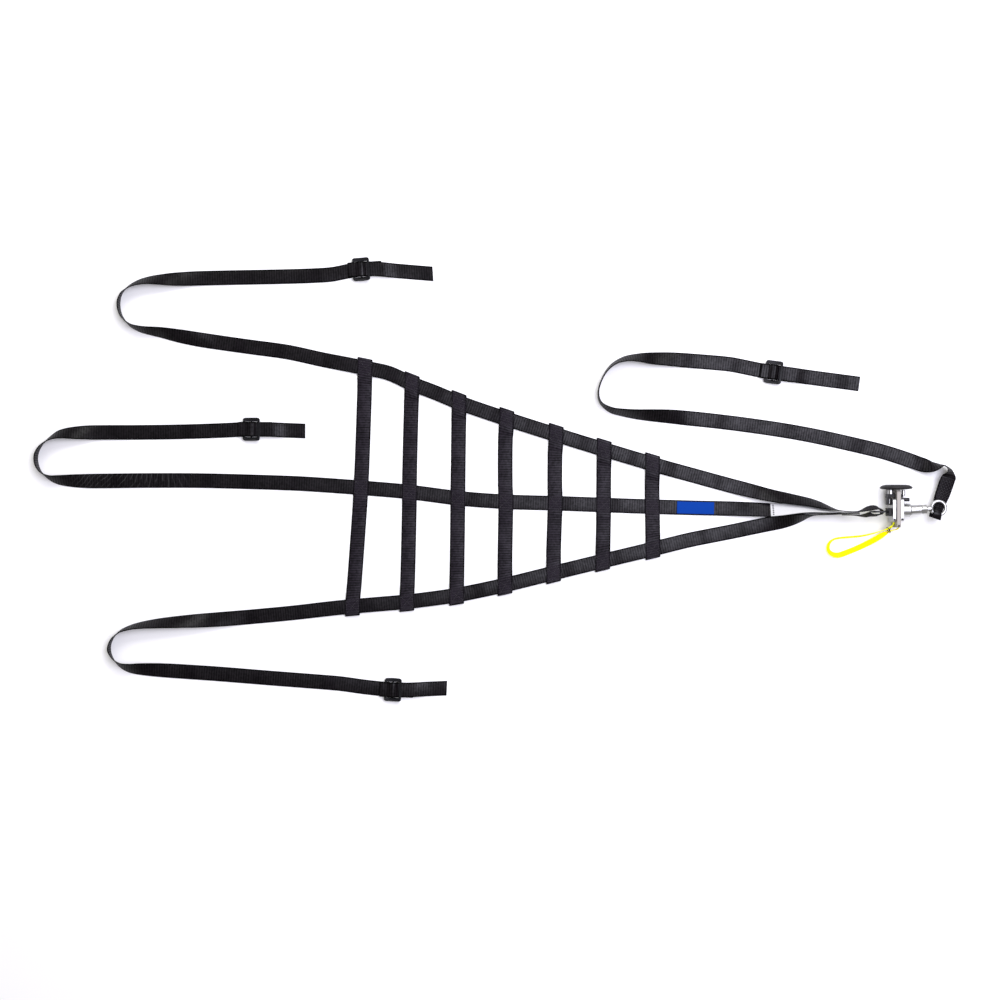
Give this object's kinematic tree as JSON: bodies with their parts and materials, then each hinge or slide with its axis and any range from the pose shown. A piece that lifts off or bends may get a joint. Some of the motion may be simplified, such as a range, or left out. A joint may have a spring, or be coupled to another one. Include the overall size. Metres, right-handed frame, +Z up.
{
  "type": "racing safety net",
  "caption": "Triangular webbing net laid flat: three long straps with slides, cross straps, a push release with a pull tape at the apex and a hold-down strap on its eye.",
  "frame": {"origin": "centre of the laid-out part's box, on the surface it lies on", "axes": "+X along the net towards the release, +Y across the net to the upper strap's side, +Z up from the surface"},
  "size_m": [1.556, 0.7533, 0.054],
  "materials": {
    "webbing": "matte ribbed webbing",
    "badge": "woven, bare",
    "label": "smooth tape, bare",
    "tape": "fluorescent tape",
    "slide_paint": "black powder coat",
    "black_nylon": "satin moulded",
    "steel": "satin zinc",
    "latch_steel": "warm satin plate",
    "dark_steel": "dark worn steel"
  },
  "bodies": {
    "net": {"upper_strap": "webbing", "middle_strap": "webbing", "lower_strap": "webbing", "hold_strap": "webbing", "cross_strap_1": "webbing", "cross_strap_2": "webbing", "cross_strap_3": "webbing", "cross_strap_4": "webbing", "cross_strap_5": "webbing", "cross_strap_6": "webbing", "cross_strap_7": "webbing", "badge_patch": "badge", "care_label": "label", "slide_upper": "slide_paint", "slide_middle": "slide_paint", "slide_lower": "slide_paint", "slide_hold": "slide_paint", "guide_block": "black_nylon", "guide_plate_left": "steel", "guide_plate_right": "steel", "guide_bracket": "black_nylon", "side_screw": "dark_steel", "jaw": "black_nylon", "tongue_plate": "dark_steel", "eye_boss": "steel", "eye_barrel": "steel", "eye_nut": "steel", "eye_bolt": "steel"},
    "push_button": {"push_cap": "black_nylon", "cap_neck": "steel", "return_rod": "steel", "latch_plate": "latch_steel", "pull_pin": "dark_steel", "pull_tape": "tape"}
  },
  "joints": [
    {"name": "push_release", "type": "slide", "parent": "net", "child": "push_button", "axis": [0, -1, 0], "range_m": [0, 0.004], "stiffness_N_per_m": 1500}
  ]
}
